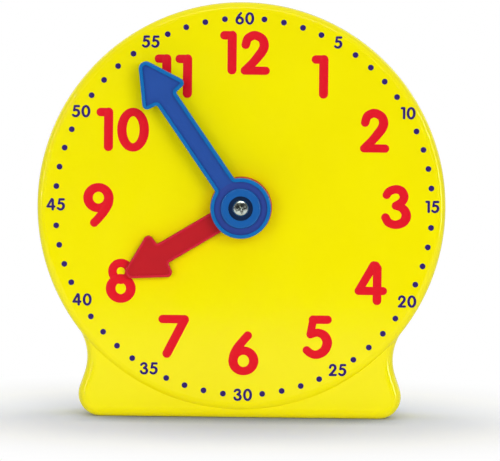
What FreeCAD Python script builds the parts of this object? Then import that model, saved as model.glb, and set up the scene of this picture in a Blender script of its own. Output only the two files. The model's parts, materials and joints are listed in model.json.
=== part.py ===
import FreeCAD, Part
import math
import os
import re

import Sketcher
from FreeCAD import Placement, Rotation, Vector

# Geared teaching clock: a plastic case of two shells, two hands and a 12 : 1 motion work.
#
# The model stands on z = 0 with the dial towards -Y. Each piece is drawn in the clock's
# own frame, whose origin is the dial's centre on its front face: x to the right, y up and
# z out of the dial, so a level below 0 lies inside the case. place() turns that frame up.

doc = FreeCAD.newDocument("TeachingClock")
sheet = doc.addObject("Spreadsheet::Sheet", "Sizes")

# Driving dimensions in millimetres and degrees, and tooth counts.
SIZES = {
    # Outline of the case, seen from the front
    "dial_radius": 50.0,
    "dial_clearance": 2.0,
    "waist_height": 14.6,
    "waist_radius": 12.5,
    "foot_flare": 19.0,
    "foot_corner_radius": 5.5,
    # Case from front to back
    "dial_step": 1.1,
    "dial_edge_radius": 2.0,
    "foot_edge_radius": 2.6,
    "wall": 2.0,
    "skirt_depth": 8.0,
    "cover_depth": 16.0,
    "cover_inset": 4.0,
    "cover_edge_radius": 2.5,
    "base_skim": 0.02,
    "lip_wall": 0.9,
    "lip_height": 1.6,
    "lip_gap": 0.12,
    "rib_wall": 1.2,
    # Case screws
    "screw_inset": 8.0,
    "side_screw_angle": 12.0,
    "foot_screw_inset": 10.1,
    "foot_screw_height": 9.0,
    "screw_boss_radius": 3.1,
    "screw_head_radius": 2.3,
    "screw_head_height": 1.5,
    "screw_radius": 1.2,
    "screw_length": 7.0,
    "screw_seat": 3.0,
    "well_radius": 2.7,
    "hole_gap": 0.2,
    "thread_gap": 0.05,
    # Motion work
    "gear_module": 0.8,
    "pressure_angle": 25.0,
    "backlash": 0.12,
    "minute_pinion_teeth": 15,
    "intermediate_wheel_teeth": 45,
    "intermediate_pinion_teeth": 12,
    "hour_wheel_teeth": 48,
    "gear_width": 3.5,
    "gear_gap": 0.8,
    "web_depth": 0.9,
    "end_float": 0.1,
    "running_gap": 0.06,
    "bearing_boss_height": 2.7,
    "bearing_boss_radius": 5.6,
    "axle_radius": 1.5,
    "axle_boss_radius": 3.2,
    "axle_socket_depth": 2.4,
    "socket_gap": 0.02,
    "arbor_radius": 2.5,
    "arbor_journal_radius": 2.0,
    "arbor_journal_length": 4.0,
    "hour_tube_wall": 0.94,
    "washer_height": 0.9,
    "washer_thickness": 0.3,
    "washer_radius": 4.6,
    # Hands
    "hand_gap": 0.5,
    "hand_edge_radius": 0.35,
    "hand_corner_radius": 1.15,
    "hand_tip_radius": 1.75,
    "hand_blend_radius": 0.5,
    "hand_head_angle": 28.5,
    "hand_barb_sweep": 8.0,
    "key_flat": 0.75,
    "key_gap": 0.05,
    "hour_hand_angle": 238.9,
    "hour_tip_inset": 17.5,
    "hour_hub_radius": 7.55,
    "hour_shaft_width": 5.4,
    "hour_head_length": 10.7,
    "hour_hand_thickness": 2.2,
    "hour_rim": 0.7,
    "hour_recess": 0.3,
    "minute_hand_angle": 325.3,
    "minute_tip_inset": 7.2,
    "minute_hub_radius": 7.4,
    "minute_shaft_width": 5.6,
    "minute_head_length": 11.0,
    "minute_hand_thickness": 2.4,
    "minute_rim": 0.9,
    "minute_recess": 0.8,
    "collar_height": 1.1,
    "collar_radius": 4.0,
    "boss_radius": 4.85,
    "boss_height": 0.4,
    "counterbore_radius": 3.0,
    "counterbore_depth": 1.6,
    "key_depth": 1.8,
    "hand_screw_head_radius": 2.0,
    "hand_screw_head_height": 0.9,
    "hand_screw_radius": 0.9,
    "hand_screw_length": 7.0,
}

for row, (alias, number) in enumerate(SIZES.items(), start=1):
    sheet.set(f"A{row}", alias)
    sheet.set(f"B{row}", str(number))
    sheet.setAlias(f"B{row}", alias)
doc.recompute()

# Levels along the clock's axis, front to back, as expressions of the driving dimensions.
PARTING = "(-skirt_depth)"
CASE_BACK = "(-skirt_depth - cover_depth)"
CASE_FLOOR = "(-dial_step - wall)"
COVER_FLOOR = f"({CASE_BACK} + wall)"
HOUR_WHEEL_FRONT = f"({CASE_FLOOR} - bearing_boss_height - end_float)"
HOUR_WHEEL_BACK = f"({HOUR_WHEEL_FRONT} - gear_width)"
INTERMEDIATE_FRONT = f"({HOUR_WHEEL_BACK} - gear_gap)"
INTERMEDIATE_BACK = f"({INTERMEDIATE_FRONT} - gear_width)"
ARBOR_SHOULDER = f"({HOUR_WHEEL_BACK} - end_float)"
ARBOR_BACK = f"({INTERMEDIATE_BACK} - gear_gap)"
REAR_BEARING = f"({ARBOR_BACK} - washer_height - 2 * end_float)"
HOUR_HAND_BACK = "(hand_gap)"
HOUR_HAND_FRONT = f"({HOUR_HAND_BACK} + hour_hand_thickness)"
COLLAR_BACK = f"({HOUR_HAND_FRONT} + hand_gap)"
MINUTE_HAND_BACK = f"({COLLAR_BACK} + collar_height)"
MINUTE_HAND_FRONT = f"({MINUTE_HAND_BACK} + minute_hand_thickness)"
BOSS_FRONT = f"({MINUTE_HAND_FRONT} + boss_height)"
HAND_SCREW_SEAT = f"({BOSS_FRONT} - counterbore_depth)"

# Places and radii that follow from the driving dimensions.
DIAL_HEIGHT = "(dial_radius + dial_clearance)"
WAIST_DROP = f"({DIAL_HEIGHT} - waist_height)"
WAIST_X = f"sqrt((dial_radius + waist_radius)^2 - {WAIST_DROP}^2)"
GEAR_CENTRES = "(gear_module * (minute_pinion_teeth + intermediate_wheel_teeth) / 2)"
HOUR_MODULE = f"(2 * {GEAR_CENTRES} / (intermediate_pinion_teeth + hour_wheel_teeth))"
HOUR_TUBE_BORE = "(arbor_radius + running_gap)"
HOUR_TUBE_RADIUS = f"({HOUR_TUBE_BORE} + hour_tube_wall)"
SCREW_CIRCLE = "(dial_radius - screw_inset)"
SIDE_SCREW_X = f"{SCREW_CIRCLE} * cos(side_screw_angle)"
SIDE_SCREW_Y = f"{SCREW_CIRCLE} * sin(side_screw_angle)"
FOOT_SCREW_X = f"({WAIST_X} - waist_radius - foot_screw_inset)"
FOOT_SCREW_Y = f"(foot_screw_height - {DIAL_HEIGHT})"

CENTRE = ("0", "0")
AXLE_PLACE = ("0", f"-{GEAR_CENTRES}")
SCREW_PLACES = {
    "top": ("0", SCREW_CIRCLE),
    "right": (SIDE_SCREW_X, SIDE_SCREW_Y),
    "left": (f"-{SIDE_SCREW_X}", SIDE_SCREW_Y),
    "foot_right": (FOOT_SCREW_X, FOOT_SCREW_Y),
    "foot_left": (f"-{FOOT_SCREW_X}", FOOT_SCREW_Y),
}
ALL_SCREWS = tuple(SCREW_PLACES.values())


# ---- Expressions and placement ----------------------------------------------------------

def bound(expression):
    """Write an expression of size names the way the document reads it."""
    def qualify(match):
        word = match.group()
        return f"Sizes.{word}" if word in SIZES else word
    text = re.sub(r"[A-Za-z_]\w*", qualify, expression)
    return re.sub(r"(cos|sin)\(([^()]*)\)", r"\1(\2 * 1 deg)", text)


reader = doc.addObject("App::FeaturePython", "Reader")


def value(expression):
    """Number that an expression of size names stands for."""
    number = reader.evalExpression(bound(expression))
    return float(getattr(number, "Value", number))


def bind(item, attribute, expression):
    item.setExpression(attribute, bound(expression))


def place(item, x="0", y="0", turn="0"):
    """Stand a piece drawn in the clock's frame up, with the dial's centre over the foot."""
    upright = Rotation(Vector(1, 0, 0), 90)
    spin = Rotation(Vector(0, 0, 1), value(turn))
    item.Placement = Placement(Vector(0, 0, 0), upright.multiply(spin))
    bind(item, "Placement.Base.x", x)
    bind(item, "Placement.Base.y", f"({BOSS_FRONT} + {CASE_BACK}) / 2")
    bind(item, "Placement.Base.z", f"{DIAL_HEIGHT} + ({y})")


# ---- Sketches ---------------------------------------------------------------------------

def origin_feature(body, role):
    return [part for part in body.Origin.OriginFeatures if part.Role == role][0]


def new_body(label):
    body = doc.addObject("PartDesign::Body", label)
    body.Label = label
    return body


def new_sketch(body, name, level="0", turn="0", plane="XY_Plane"):
    sketch = body.newObject("Sketcher::SketchObject", name)
    sketch.AttachmentSupport = [(origin_feature(body, plane), "")]
    sketch.MapMode = "FlatFace"
    sketch.AttachmentOffset = Placement(Vector(0, 0, 0), Rotation(Vector(0, 0, 1), value(turn)))
    bind(sketch, "AttachmentOffset.Base.z", level)
    return sketch


def constrain(sketch, expression, kind, *geometry):
    """Add a dimension to a sketch and bind it to an expression of sizes."""
    number = value(expression)
    if kind == "Angle":
        number = math.radians(number)
        expression = f"({expression}) * 1 deg"
    index = sketch.addConstraint(Sketcher.Constraint(kind, *geometry, number))
    bind(sketch, f"Constraints[{index}]", expression)


def locate(sketch, index, x, y, point=3):
    """Hold a point of a sketch, by default a circle's centre, at x, y."""
    if x == "0":
        sketch.addConstraint(Sketcher.Constraint("PointOnObject", index, point, -2))
    else:
        constrain(sketch, x, "DistanceX", -1, 1, index, point)
    if y == "0":
        sketch.addConstraint(Sketcher.Constraint("PointOnObject", index, point, -1))
    else:
        constrain(sketch, y, "DistanceY", -1, 1, index, point)


def circle(sketch, radius, x="0", y="0"):
    centre = Vector(value(x), value(y), 0)
    curve = Part.Circle(centre, Vector(0, 0, 1), value(radius))
    index = sketch.addGeometry(curve, False)
    locate(sketch, index, x, y)
    constrain(sketch, radius, "Radius", index)


def arc(centre, radius, start, end):
    """Arc that runs anticlockwise from start to end, in degrees."""
    ring = Part.Circle(Vector(*centre, 0), Vector(0, 0, 1), radius)
    return Part.ArcOfCircle(ring, math.radians(start), math.radians(end))


def line(start, end):
    return Part.LineSegment(Vector(*start, 0), Vector(*end, 0))


def fixed_outline(sketch, edges):
    """Draw edges that are worked out from the sizes, each held where it is."""
    for edge in edges:
        index = sketch.addGeometry(edge, False)
        sketch.addConstraint(Sketcher.Constraint("Block", index))


def polygon(points):
    return [line(start, end) for start, end in zip(points, points[1:] + points[:1])]


def flatted_circle(sketch, radius, flat):
    """Round key with two flats, each at the distance flat from its centre."""
    r, half = value(radius), value(flat)
    lift = math.degrees(math.acos(half / r))
    rise = r * math.sin(math.radians(lift))
    fixed_outline(sketch, [
        arc((0, 0), r, lift, 180 - lift),
        line((-half, rise), (-half, -rise)),
        arc((0, 0), r, 180 + lift, 360 - lift),
        line((half, -rise), (half, rise)),
    ])


def case_outline(sketch, inset="0", floor="0"):
    """Outline of the case: dial, waist, flared foot. Walls move in by inset, the base up by floor.

    The waist arc touches the dial's circle. A straight flank leaves it at the flare's
    angle, and the foot's corner arc joins that flank to the flat base.
    """
    dial = f"(dial_radius - ({inset}))"
    waist = f"(waist_radius + ({inset}))"
    corner = f"(foot_corner_radius - ({floor}))"
    base = f"(({floor}) - {DIAL_HEIGHT})"
    flare = value("foot_flare")
    across, along = math.cos(math.radians(flare)), math.sin(math.radians(flare))
    waist_centre = (value(WAIST_X), -value(WAIST_DROP))
    dial_end = math.degrees(math.atan2(-waist_centre[1], waist_centre[0]))
    waist_end = (waist_centre[0] - value(waist) * across, waist_centre[1] - value(waist) * along)
    drop = waist_end[1] - value(corner) * along - value(base) - value(corner)
    flank = drop / across
    corner_top = (waist_end[0] + flank * along, waist_end[1] - flank * across)
    corner_centre = (corner_top[0] - value(corner) * across, corner_top[1] - value(corner) * along)

    def mirrored(point):
        return (-point[0], point[1])

    top, right_waist, right_flank, right_corner, bottom, left_corner, left_flank, left_waist = (
        sketch.addGeometry(edge, False) for edge in (
            arc((0, 0), value(dial), -dial_end, 180 + dial_end),
            arc(waist_centre, value(waist), 180 - dial_end, 180 + flare),
            line(corner_top, waist_end),
            arc(corner_centre, value(corner), -90, flare),
            line((-corner_centre[0], value(base)), (corner_centre[0], value(base))),
            arc(mirrored(corner_centre), value(corner), 180 - flare, 270),
            line(mirrored(corner_top), mirrored(waist_end)),
            arc(mirrored(waist_centre), value(waist), -flare, dial_end),
        ))
    joints = (
        (top, 1, right_waist, 1), (right_waist, 2, right_flank, 2),
        (right_flank, 1, right_corner, 2), (right_corner, 1, bottom, 2),
        (bottom, 1, left_corner, 2), (left_corner, 1, left_flank, 1),
        (left_flank, 2, left_waist, 1), (left_waist, 2, top, 2),
    )
    for joint in joints:
        sketch.addConstraint(Sketcher.Constraint("Tangent", *joint))
    locate(sketch, top, "0", "0")
    constrain(sketch, dial, "Radius", top)
    for side, waist_arc, corner_arc, flank_line in (
            (1, right_waist, right_corner, right_flank), (-1, left_waist, left_corner, left_flank)):
        constrain(sketch, waist, "Radius", waist_arc)
        constrain(sketch, f"{side} * {WAIST_X}", "DistanceX", -1, 1, waist_arc, 3)
        constrain(sketch, corner, "Radius", corner_arc)
        constrain(sketch, f"90 + {side} * foot_flare", "Angle", flank_line)
    sketch.addConstraint(Sketcher.Constraint("Horizontal", bottom))
    constrain(sketch, base, "DistanceY", -1, 1, bottom, 1)


# ---- Features ---------------------------------------------------------------------------

def pad(body, sketch, length, towards="back"):
    feature = body.newObject("PartDesign::Pad", "Pad")
    feature.Profile = sketch
    feature.Reversed = towards == "back"
    bind(feature, "Length", length)
    doc.recompute()
    return feature


def pocket(body, sketch, length=None, towards="back"):
    """Cut a sketch out of the body, through all of it if no length is given."""
    before = body.Shape.Volume
    feature = body.newObject("PartDesign::Pocket", "Pocket")
    feature.Profile = sketch
    feature.Reversed = towards == "front"
    if length is None:
        feature.Type = "ThroughAll"
    else:
        bind(feature, "Length", length)
    doc.recompute()
    if body.Shape.Volume >= before:
        raise RuntimeError(f"{body.Label}: {sketch.Label} cuts nothing")
    return feature


def revolve(body, sketch):
    """Turn a profile drawn on the XZ plane, radius across and level up, about the axis."""
    feature = body.newObject("PartDesign::Revolution", "Revolution")
    feature.Profile = sketch
    feature.ReferenceAxis = (sketch, ["V_Axis"])
    feature.Angle = 360
    doc.recompute()
    return feature


def round_edges(body, radius, chosen):
    """Fillet the edges of the body's last feature that the function chosen picks."""
    base = body.Tip
    names = [f"Edge{n}" for n, edge in enumerate(base.Shape.Edges, start=1) if chosen(edge)]
    feature = body.newObject("PartDesign::Fillet", "Fillet")
    feature.Base = (base, names)
    bind(feature, "Radius", radius)
    doc.recompute()
    return feature


def at_level(level):
    """Test for edges that lie in one plane across the clock's axis."""
    height = value(level)

    def chosen(edge):
        box = edge.BoundBox
        return abs(box.ZMin - height) < 1e-4 and abs(box.ZMax - height) < 1e-4
    return chosen


def circles(body, name, level, radius, places):
    sketch = new_sketch(body, name, level)
    for x, y in places:
        circle(sketch, radius, x, y)
    return sketch


def pad_circles(body, name, level, length, radius, *places, towards="back"):
    """Add a round post at each place, or at the axis if no place is given."""
    return pad(body, circles(body, name, level, radius, places or (CENTRE,)), length, towards)


def cut_circles(body, name, level, length, radius, *places, towards="back"):
    """Cut a round hole at each place, or at the axis if no place is given."""
    return pocket(body, circles(body, name, level, radius, places or (CENTRE,)), length, towards)


def profile_sketch(body, name, points):
    """Half section of a turned piece from (radius, level) expressions."""
    sketch = new_sketch(body, name, plane="XZ_Plane")
    fixed_outline(sketch, polygon([(value(radius), value(level)) for radius, level in points]))
    return sketch


# ---- Teeth ------------------------------------------------------------------------------

def involute(angle):
    return math.tan(angle) - angle


def tooth_gap(module, teeth, mesh_angle):
    """Edges of one gap between involute teeth, centred on mesh_angle, in degrees.

    Half the tooth's angle at radius r is
    thickness / (2 pitch_radius) + inv(pressure_angle) - inv(acos(base_radius / r)),
    and the gap is what it leaves of the pitch. Each flank is the arc through three points.
    """
    pitch_radius = module * teeth / 2
    pressure = math.radians(value("pressure_angle"))
    base_radius = pitch_radius * math.cos(pressure)
    root_radius = pitch_radius - 1.25 * module
    outside = pitch_radius + 1.5 * module
    thickness = math.pi * module / 2 - value("backlash") / 2

    def half_gap(radius):
        slope = math.acos(min(1.0, base_radius / radius))
        tooth = thickness / (2 * pitch_radius) + involute(pressure) - involute(slope)
        return math.degrees(math.pi / teeth - tooth)

    def flank(radius, side):
        angle = math.radians(mesh_angle - side * half_gap(radius))
        return Vector(radius * math.cos(angle), radius * math.sin(angle), 0)

    start = max(base_radius, root_radius)
    radii = (start, (start + outside) / 2, outside)
    left = [flank(radius, -1) for radius in radii]
    right = [flank(radius, 1) for radius in reversed(radii)]
    edges = [
        Part.Arc(*left),
        Part.LineSegment(left[2], right[0]),
        Part.Arc(*right),
    ]
    if start == root_radius:
        return edges + [Part.LineSegment(right[2], left[0])]
    low_right = right[2] * (root_radius / start)
    low_left = left[0] * (root_radius / start)
    return edges + [
        Part.LineSegment(right[2], low_right),
        Part.LineSegment(low_right, low_left),
        Part.LineSegment(low_left, left[0]),
    ]


def cut_teeth(body, level, length, module, teeth, mesh_angle, tooth_at_mesh):
    """Cut one tooth gap and repeat it round the gear.

    The gear shows a gap towards mesh_angle, or a tooth where tooth_at_mesh is set.
    """
    half_pitch = 180 / value(teeth) if tooth_at_mesh else 0
    sketch = new_sketch(body, "ToothGap", level)
    fixed_outline(sketch, tooth_gap(value(module), value(teeth), mesh_angle + half_pitch))
    gap = pocket(body, sketch, length)
    pattern = body.newObject("PartDesign::PolarPattern", "Teeth")
    pattern.Refine = False
    pattern.Originals = [gap]
    pattern.Axis = (origin_feature(body, "Z_Axis"), [""])
    pattern.Angle = 360
    bind(pattern, "Occurrences", teeth)
    body.Tip = pattern
    doc.recompute()
    return pattern


def tip_radius(module, teeth):
    return f"({module} * ({teeth} / 2 + 1))"


def root_radius(module, teeth):
    return f"({module} * ({teeth} / 2 - 1.25))"


# ---- Case -------------------------------------------------------------------------------

def screw_rib(x, y):
    """Edges of the rib from a screw boss to the case wall, outwards from the dial or down."""
    across = value("rib_wall") / 2
    start = Vector(value(x), value(y), 0)
    if start.y > 0:
        end = start * (value("dial_radius - wall / 2") / start.Length)
    else:
        end = Vector(start.x, value(f"wall / 2 - {DIAL_HEIGHT}"), 0)
    ahead = (end - start).normalize()
    side = Vector(-ahead.y, ahead.x, 0) * across
    corners = [start + side, end + side, end - side, start - side]
    return polygon([(corner.x, corner.y) for corner in corners])


def make_front_case():
    """Front shell: raised dial disc on the flared foot, with its bosses, sockets and rim."""
    body = new_body("front_case")
    sketch = new_sketch(body, "FootOutline", "-dial_step")
    case_outline(sketch)
    pad(body, sketch, "skirt_depth - dial_step")
    round_edges(body, "foot_edge_radius", at_level("-dial_step"))
    disc = new_sketch(body, "DialDisc", plane="XZ_Plane")
    radius, rounding, back = value("dial_radius"), value("dial_edge_radius"), value(PARTING)
    fixed_outline(disc, [
        line((0, 0), (radius - rounding, 0)),
        arc((radius - rounding, -rounding), rounding, 0, 90),
        line((radius, -rounding), (radius, back)),
        line((radius, back), (0, back)),
        line((0, back), (0, 0)),
    ])
    revolve(body, disc)

    sketch = new_sketch(body, "Cavity", PARTING)
    case_outline(sketch, "wall", "wall")
    pocket(body, sketch, "skirt_depth - dial_step - wall", "front")
    sketch = new_sketch(body, "LipRebate", PARTING)
    case_outline(sketch, "wall - lip_wall", "wall - lip_wall")
    pocket(body, sketch, "lip_height + lip_gap", "front")

    boss_height = f"skirt_depth + {CASE_FLOOR}"
    ribs = new_sketch(body, "ScrewRibs", CASE_FLOOR)
    for x, y in ALL_SCREWS:
        fixed_outline(ribs, screw_rib(x, y))
    pad(body, ribs, f"({boss_height}) / 2")
    pad_circles(body, "ScrewBosses", CASE_FLOOR, boss_height, "screw_boss_radius", *ALL_SCREWS)
    pad_circles(body, "BearingBoss", CASE_FLOOR, "bearing_boss_height", "bearing_boss_radius")
    pad_circles(body, "AxleBoss", CASE_FLOOR, "bearing_boss_height", "axle_boss_radius",
                AXLE_PLACE)

    cut_circles(body, "HourBearing", "0", None, f"{HOUR_TUBE_RADIUS} + running_gap")
    cut_circles(body, "AxleSocket", f"{CASE_FLOOR} - bearing_boss_height", "axle_socket_depth",
                "axle_radius + socket_gap", AXLE_PLACE, towards="front")
    cut_circles(body, "ScrewPilots", PARTING, "screw_length - screw_seat + hole_gap",
                "screw_radius + thread_gap", *ALL_SCREWS, towards="front")
    place(body)


def make_rear_cover():
    """Rear shell: tapers to the back over a level base, with a lip, bosses and screw wells.

    The outer form is drawn a skim lower than its base and then cut flat.
    """
    body = new_body("rear_cover")
    for kind, gap, floor, level in (("AdditiveLoft", "0", "-base_skim", CASE_BACK),
                                    ("SubtractiveLoft", "wall", "wall", COVER_FLOOR)):
        near = new_sketch(body, f"{kind}Parting", PARTING)
        case_outline(near, gap, floor)
        far = new_sketch(body, f"{kind}Back", level)
        case_outline(far, f"cover_inset + {gap}", floor)
        loft = body.newObject(f"PartDesign::{kind}", kind)
        loft.Profile = near
        loft.Sections = [far]
        loft.Ruled = True
        doc.recompute()
        if kind == "AdditiveLoft":
            round_edges(body, "cover_edge_radius", at_level(CASE_BACK))
    half, base = value("dial_radius"), value(f"-{DIAL_HEIGHT}")
    low = base - value("wall")
    level_cut = new_sketch(body, "LevelBase", PARTING)
    fixed_outline(level_cut, polygon([(-half, low), (half, low), (half, base), (-half, base)]))
    pocket(body, level_cut)

    lip = new_sketch(body, "Lip", f"{PARTING} - lip_height")
    edge = "wall - lip_wall + lip_gap"
    case_outline(lip, edge, edge)
    case_outline(lip, "wall", "wall")
    pad(body, lip, "2 * lip_height", "front")

    pad_circles(body, "ScrewBosses", COVER_FLOOR, "cover_depth - wall",
                "well_radius + rib_wall", *ALL_SCREWS, towards="front")
    pad_circles(body, "BearingBoss", COVER_FLOOR, f"{REAR_BEARING} - {COVER_FLOOR}",
                "arbor_journal_radius + wall", towards="front")
    pad_circles(body, "AxleBoss", COVER_FLOOR,
                f"{INTERMEDIATE_BACK} - end_float - {COVER_FLOOR}", "axle_boss_radius",
                AXLE_PLACE, towards="front")

    cut_circles(body, "ArborBearing", REAR_BEARING, "arbor_journal_length + end_float",
                "arbor_journal_radius + running_gap")
    cut_circles(body, "AxleSocket", f"{INTERMEDIATE_BACK} - end_float", "2 * axle_socket_depth",
                "axle_radius + socket_gap", AXLE_PLACE)
    cut_circles(body, "ScrewHoles", PARTING, "screw_seat", "screw_radius + hole_gap",
                *ALL_SCREWS)
    cut_circles(body, "ScrewWells", CASE_BACK, "cover_depth - screw_seat", "well_radius",
                *ALL_SCREWS, towards="front")
    place(body)


def make_screw(label, head_radius, head_height, radius, length, towards):
    """Pan head screw, drawn with the head's seat at level 0 and its axis on z.

    towards is 1 where the head looks to the clock's front and -1 where it looks back.
    """
    body = new_body(label)
    head, height, shank = value(head_radius), value(head_height), value(radius)
    reach = value(length)
    edge = height / 2
    rise = height - edge
    ball = (head ** 2 + rise ** 2) / (2 * rise)
    slope = math.degrees(math.asin((ball - rise) / ball))
    start, end = sorted((towards * slope, towards * 90))
    sketch = new_sketch(body, "Profile", plane="XZ_Plane")
    fixed_outline(sketch, [
        arc((0, towards * (height - ball)), ball, start, end),
        line((0, towards * height), (0, -towards * reach)),
        line((0, -towards * reach), (shank * 0.5, -towards * reach)),
        line((shank * 0.5, -towards * reach), (shank, -towards * (reach - shank))),
        line((shank, -towards * (reach - shank)), (shank, 0)),
        line((shank, 0), (head, 0)),
        line((head, 0), (head, towards * edge)),
    ])
    revolve(body, sketch)
    return body


# ---- Motion work ------------------------------------------------------------------------

def make_minute_arbor():
    """Arbor with the minute pinion moulded on it, a key for the minute hand and a pilot hole."""
    body = new_body("minute_arbor")
    revolve(body, profile_sketch(body, "Profile", [
        ("0", COLLAR_BACK),
        ("arbor_radius", COLLAR_BACK),
        ("arbor_radius", ARBOR_BACK),
        ("arbor_journal_radius", ARBOR_BACK),
        ("arbor_journal_radius", f"{REAR_BEARING} - arbor_journal_length"),
        ("0", f"{REAR_BEARING} - arbor_journal_length"),
    ]))
    teeth = "minute_pinion_teeth"
    width = f"{ARBOR_SHOULDER} - {ARBOR_BACK}"
    pad_circles(body, "PinionBlank", ARBOR_SHOULDER, width, tip_radius("gear_module", teeth))
    key = new_sketch(body, "HandKey", COLLAR_BACK, "-minute_hand_angle")
    flatted_circle(key, "arbor_radius - key_gap", "arbor_radius * key_flat")
    pad(body, key, "key_depth - key_gap", "front")
    cut_circles(body, "ScrewPilot", f"{COLLAR_BACK} + key_depth", "hand_screw_length",
                "hand_screw_radius + thread_gap")
    cut_teeth(body, ARBOR_SHOULDER, width, "gear_module", teeth, -90, tooth_at_mesh=True)
    place(body)


def make_intermediate_gear():
    """Compound gear: the wheel that the minute pinion drives and the pinion in front of it."""
    body = new_body("intermediate_gear")
    wheel, pinion = "intermediate_wheel_teeth", "intermediate_pinion_teeth"
    front = f"({CASE_FLOOR} - bearing_boss_height - end_float)"
    width = f"{front} - {INTERMEDIATE_FRONT}"
    pad_circles(body, "WheelBlank", INTERMEDIATE_FRONT, "gear_width",
                tip_radius("gear_module", wheel))
    web = new_sketch(body, "Web", INTERMEDIATE_BACK)
    circle(web, f"{root_radius('gear_module', wheel)} - wall")
    circle(web, "axle_boss_radius + wall / 2")
    pocket(body, web, "web_depth", "front")
    pad_circles(body, "PinionBlank", front, width, tip_radius(HOUR_MODULE, pinion))
    cut_circles(body, "Bore", front, None, "axle_radius + running_gap")
    cut_teeth(body, front, width, HOUR_MODULE, pinion, 90, tooth_at_mesh=True)
    cut_teeth(body, INTERMEDIATE_FRONT, "gear_width", "gear_module", wheel, 90,
              tooth_at_mesh=False)
    place(body, y=f"-{GEAR_CENTRES}")


def make_hour_wheel():
    """Hour wheel with its tube, which passes the dial and carries the hour hand on a key."""
    body = new_body("hour_wheel")
    teeth = "hour_wheel_teeth"
    pad_circles(body, "WheelBlank", HOUR_WHEEL_FRONT, "gear_width",
                tip_radius(HOUR_MODULE, teeth))
    for name, level, towards in (("WebFront", HOUR_WHEEL_FRONT, "back"),
                                 ("WebBack", HOUR_WHEEL_BACK, "front")):
        web = new_sketch(body, name, level)
        circle(web, f"{root_radius(HOUR_MODULE, teeth)} - wall")
        circle(web, "bearing_boss_radius + wall / 2")
        pocket(body, web, "web_depth", towards)
    pad_circles(body, "Tube", HOUR_WHEEL_FRONT, f"{HOUR_HAND_BACK} - {HOUR_WHEEL_FRONT}",
                HOUR_TUBE_RADIUS, towards="front")
    key = new_sketch(body, "HandKey", HOUR_HAND_BACK, "-hour_hand_angle")
    flatted_circle(key, HOUR_TUBE_RADIUS, f"{HOUR_TUBE_RADIUS} * (1 + key_flat) / 2")
    pad(body, key, "hour_hand_thickness", "front")
    cut_circles(body, "Bore", HOUR_HAND_FRONT, None, HOUR_TUBE_BORE)
    cut_teeth(body, HOUR_WHEEL_FRONT, "gear_width", HOUR_MODULE, teeth, -90, tooth_at_mesh=False)
    place(body)


def make_intermediate_axle():
    """Steel pin that the compound gear turns on, held in a socket of each shell."""
    body = new_body("intermediate_axle")
    front = f"({CASE_FLOOR} - bearing_boss_height + axle_socket_depth - end_float)"
    back = f"({INTERMEDIATE_BACK} - end_float - 2 * axle_socket_depth + end_float)"
    pad_circles(body, "Pin", front, f"{front} - {back}", "axle_radius")
    place(body, y=f"-{GEAR_CENTRES}")


def make_friction_washer():
    """Coned spring washer between the rear bearing and the pinion: it holds the hands still."""
    body = new_body("friction_washer")
    inner = "arbor_journal_radius + hole_gap"
    back = f"({REAR_BEARING} + end_float)"
    front = f"({back} + washer_height)"
    revolve(body, profile_sketch(body, "Profile", [
        (inner, back),
        ("washer_radius", f"{front} - washer_thickness"),
        ("washer_radius", front),
        (inner, f"{back} + washer_thickness"),
    ]))
    place(body)


# ---- Hands ------------------------------------------------------------------------------

def rounded(points, radii):
    """Lines through points with each inner corner rounded, as edges that join end to start."""
    edges = []
    start = points[0]
    for before, corner, after, radius in zip(points, points[1:], points[2:], radii):
        back = (before - corner).normalize()
        ahead = (after - corner).normalize()
        half_angle = back.getAngle(ahead) / 2
        reach = radius / math.tan(half_angle)
        middle = (back + ahead).normalize()
        centre = corner + middle * (radius / math.sin(half_angle))
        bend_start = corner + back * reach
        bend_end = corner + ahead * reach
        edges.append(Part.LineSegment(start, bend_start))
        edges.append(Part.Arc(bend_start, centre - middle * radius, bend_end))
        start = bend_end
    edges.append(Part.LineSegment(start, points[-1]))
    return edges


def hand_outline(sketch, name, inset="0"):
    """Outline of a hand that points up: hub, straight shaft and barbed arrow head.

    The outline is moved in by inset on all sides. The head's side leans by the head's
    angle, and its back edge sweeps towards the tip on its way out to the barb.
    """
    gap = value(inset)
    length = value(f"dial_radius - {name}_tip_inset")
    half_shaft = value(f"{name}_shaft_width") / 2 - gap
    hub = value(f"{name}_hub_radius") - gap
    blend = value("hand_blend_radius") + gap
    lean = math.radians(value("hand_head_angle"))
    sweep = math.radians(value("hand_barb_sweep"))
    tip_round = value("hand_tip_radius") - gap
    apex = length - gap + tip_round * (1 / math.sin(lean) - 1)
    base = length - value(f"{name}_head_length") + gap / math.cos(sweep)
    # The back edge is y = base + x tan(sweep) and the side is y = apex - x / tan(lean).
    barb_x = (apex - base) / (1 / math.tan(lean) + math.tan(sweep))
    barb_y = base + barb_x * math.tan(sweep)
    notch_y = base + half_shaft * math.tan(sweep)
    shaft_y = math.sqrt((hub + blend) ** 2 - (half_shaft + blend) ** 2)
    corner_round = value("hand_corner_radius") - gap

    right = [Vector(half_shaft, shaft_y, 0), Vector(half_shaft, notch_y, 0),
             Vector(barb_x, barb_y, 0)]
    left = [Vector(-point.x, point.y, 0) for point in reversed(right)]
    points = right + [Vector(0, apex, 0)] + left
    radii = [blend, corner_round, tip_round, corner_round, blend]

    touch = math.degrees(math.atan2(shaft_y, half_shaft + blend))
    centre = (half_shaft + blend, shaft_y)
    fixed_outline(sketch, rounded(points, radii) + [
        arc((-centre[0], centre[1]), blend, -touch, 0),
        arc((0, 0), hub, 180 - touch, 360 + touch),
        arc(centre, blend, 180, 180 + touch),
    ])


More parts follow.
